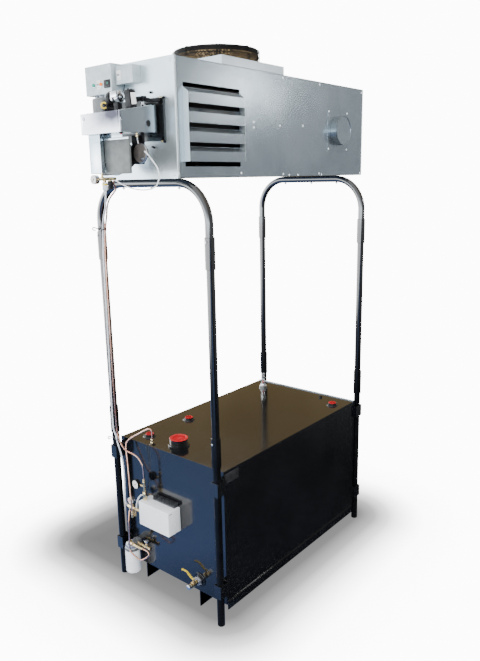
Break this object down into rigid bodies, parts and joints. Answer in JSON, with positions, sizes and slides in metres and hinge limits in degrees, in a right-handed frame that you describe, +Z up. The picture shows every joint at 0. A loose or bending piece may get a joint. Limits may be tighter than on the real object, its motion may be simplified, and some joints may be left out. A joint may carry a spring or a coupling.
{
  "type": "tank-mounted unit heater",
  "caption": "Oil-fired unit heater with burner and roof fan, held on two tube frames over a rectangular oil tank with its pump, filter and gauges.",
  "frame": {"origin": "on the floor, under the middle of the whole heater's bounding box", "axes": "+Z up; +X along the tank, from the burner end to the plain end; the louvres and the flue face -Y"},
  "size_m": [2.0532, 0.8786, 3.1363],
  "materials": {
    "black_gloss_paint": "gloss",
    "galvanised_steel": "satin",
    "bright_steel": "polished",
    "black_wire": "satin",
    "grey_paint": "satin",
    "dark_grey_plastic": "matte",
    "black_plastic": "matte",
    "red_plastic": "gloss",
    "brass": "satin",
    "copper": "satin",
    "clear_hose": "gloss",
    "white_paint": "gloss",
    "dark_steel": "matte",
    "yellow_grip": "satin",
    "zinc_casting": "satin"
  },
  "bodies": {
    "heater": {"tank_shell": "black_gloss_paint", "tank_skid_left": "black_gloss_paint", "tank_skid_right": "black_gloss_paint", "fill_collar": "black_gloss_paint", "level_gauge": "clear_hose", "front_u_frame": "black_gloss_paint", "rear_u_frame": "black_gloss_paint", "leg_front_right": "black_gloss_paint", "leg_front_left": "black_gloss_paint", "leg_rear_right": "black_gloss_paint", "leg_rear_left": "black_gloss_paint", "cabinet_shell": "galvanised_steel", "cabinet_front_panel": "galvanised_steel", "cabinet_side_panel": "galvanised_steel", "louvre_panel": "galvanised_steel", "fan_box": "galvanised_steel", "fan_guard": "black_wire", "fan_motor": "bright_steel", "flue_collar": "galvanised_steel", "heat_exchanger": "dark_steel", "burner_mount_plate": "black_gloss_paint", "burner_housing": "galvanised_steel", "blower_housing": "galvanised_steel", "blower_motor": "black_plastic", "air_pressure_switch": "zinc_casting", "ignition_transformer": "black_plastic", "solenoid_valve": "bright_steel", "burner_control": "dark_grey_plastic", "pressure_gauge": "bright_steel", "oil_manifold": "brass", "control_box": "grey_paint", "junction_box": "grey_paint", "pump_unit": "white_paint", "vacuum_gauge": "black_plastic", "feed_gauge": "bright_steel", "filter_head": "zinc_casting", "oil_filter": "white_paint", "drain_valve": "black_gloss_paint", "supply_copper_line": "copper", "tank_copper_line": "copper", "filter_copper_line": "copper", "return_hose": "clear_hose", "pump_hose": "clear_hose"},
    "fill_plug_body": {"fill_plug": "red_plastic"},
    "bung_plug_front_body": {"bung_plug_front": "red_plastic"},
    "bung_plug_middle_body": {"bung_plug_middle": "red_plastic"},
    "bung_plug_rear_body": {"bung_plug_rear": "red_plastic"},
    "level_float_body": {"level_float": "red_plastic"},
    "fan_blade_body": {"fan_blade": "bright_steel"},
    "flue_cap_body": {"flue_cap": "galvanised_steel"},
    "burner_door_body": {"burner_door": "bright_steel"},
    "blower_wheel_body": {"blower_wheel": "galvanised_steel"},
    "reset_button_body": {"reset_button": "red_plastic"},
    "pressure_needle_body": {"pressure_needle": "black_plastic"},
    "control_toggle_body": {"control_toggle": "bright_steel"},
    "junction_toggle_body": {"junction_toggle": "bright_steel"},
    "vacuum_needle_body": {"vacuum_needle": "black_plastic"},
    "feed_needle_body": {"feed_needle": "black_plastic"},
    "filter_knob_body": {"filter_knob": "bright_steel"},
    "drain_lever_body": {"drain_lever": "yellow_grip"}
  },
  "joints": [
    {"name": "fill_plug_lift", "type": "slide", "parent": "heater", "child": "fill_plug_body", "axis": [0, 0, 1], "range_m": [0, 0.035]},
    {"name": "bung_plug_front_lift", "type": "slide", "parent": "heater", "child": "bung_plug_front_body", "axis": [0, 0, 1], "range_m": [0, 0.02]},
    {"name": "bung_plug_middle_lift", "type": "slide", "parent": "heater", "child": "bung_plug_middle_body", "axis": [0, 0, 1], "range_m": [0, 0.02]},
    {"name": "bung_plug_rear_lift", "type": "slide", "parent": "heater", "child": "bung_plug_rear_body", "axis": [0, 0, 1], "range_m": [0, 0.02]},
    {"name": "level_float_rise", "type": "slide", "parent": "heater", "child": "level_float_body", "axis": [0, 0, 1], "range_m": [0, 0.055]},
    {"name": "fan_spin", "type": "hinge", "parent": "heater", "child": "fan_blade_body", "pos_m": [-0.13935, -0.02, 3.0423], "axis": [0, 0, 1], "continuous": true},
    {"name": "flue_cap_pull", "type": "slide", "parent": "heater", "child": "flue_cap_body", "axis": [0, -1, 0], "range_m": [0, 0.05]},
    {"name": "burner_door_hinge", "type": "hinge", "parent": "heater", "child": "burner_door_body", "pos_m": [-1.01615, -0.2085, 2.665], "axis": [0, 0, 1], "range_deg": [0, 110]},
    {"name": "blower_spin", "type": "hinge", "parent": "heater", "child": "blower_wheel_body", "pos_m": [-0.88935, 0.022, 2.566], "axis": [0, 1, 0], "continuous": true},
    {"name": "reset_push", "type": "slide", "parent": "heater", "child": "reset_button_body", "axis": [0, 0, 1], "range_m": [0, 0.003], "stiffness_N_per_m": 300, "springref_m": -0.002},
    {"name": "pressure_needle_turn", "type": "hinge", "parent": "heater", "child": "pressure_needle_body", "pos_m": [-0.95735, 0.085, 2.46], "axis": [1, 0, 0], "range_deg": [0, 270]},
    {"name": "vacuum_needle_turn", "type": "hinge", "parent": "heater", "child": "vacuum_needle_body", "pos_m": [-0.70435, 0.222, 0.681], "axis": [1, 0, 0], "range_deg": [0, 270]},
    {"name": "feed_needle_turn", "type": "hinge", "parent": "heater", "child": "feed_needle_body", "pos_m": [-0.72635, 0.25, 0.573], "axis": [1, 0, 0], "range_deg": [0, 270]},
    {"name": "control_toggle_flip", "type": "hinge", "parent": "heater", "child": "control_toggle_body", "pos_m": [-0.82255, 0.161, 2.917], "axis": [0, 1, 0], "range_deg": [-28, 0]},
    {"name": "junction_toggle_flip", "type": "hinge", "parent": "heater", "child": "junction_toggle_body", "pos_m": [-0.79955, 0.031, 2.951], "axis": [0, 1, 0], "range_deg": [-28, 0]},
    {"name": "filter_knob_turn", "type": "hinge", "parent": "heater", "child": "filter_knob_body", "pos_m": [-0.65835, 0.2, 0.2736], "axis": [0, 0, 1], "range_deg": [0, 340]},
    {"name": "drain_lever_turn", "type": "hinge", "parent": "heater", "child": "drain_lever_body", "pos_m": [-0.67865, -0.213, 0.2123], "axis": [0, 0, 1], "range_deg": [0, 90]}
  ]
}
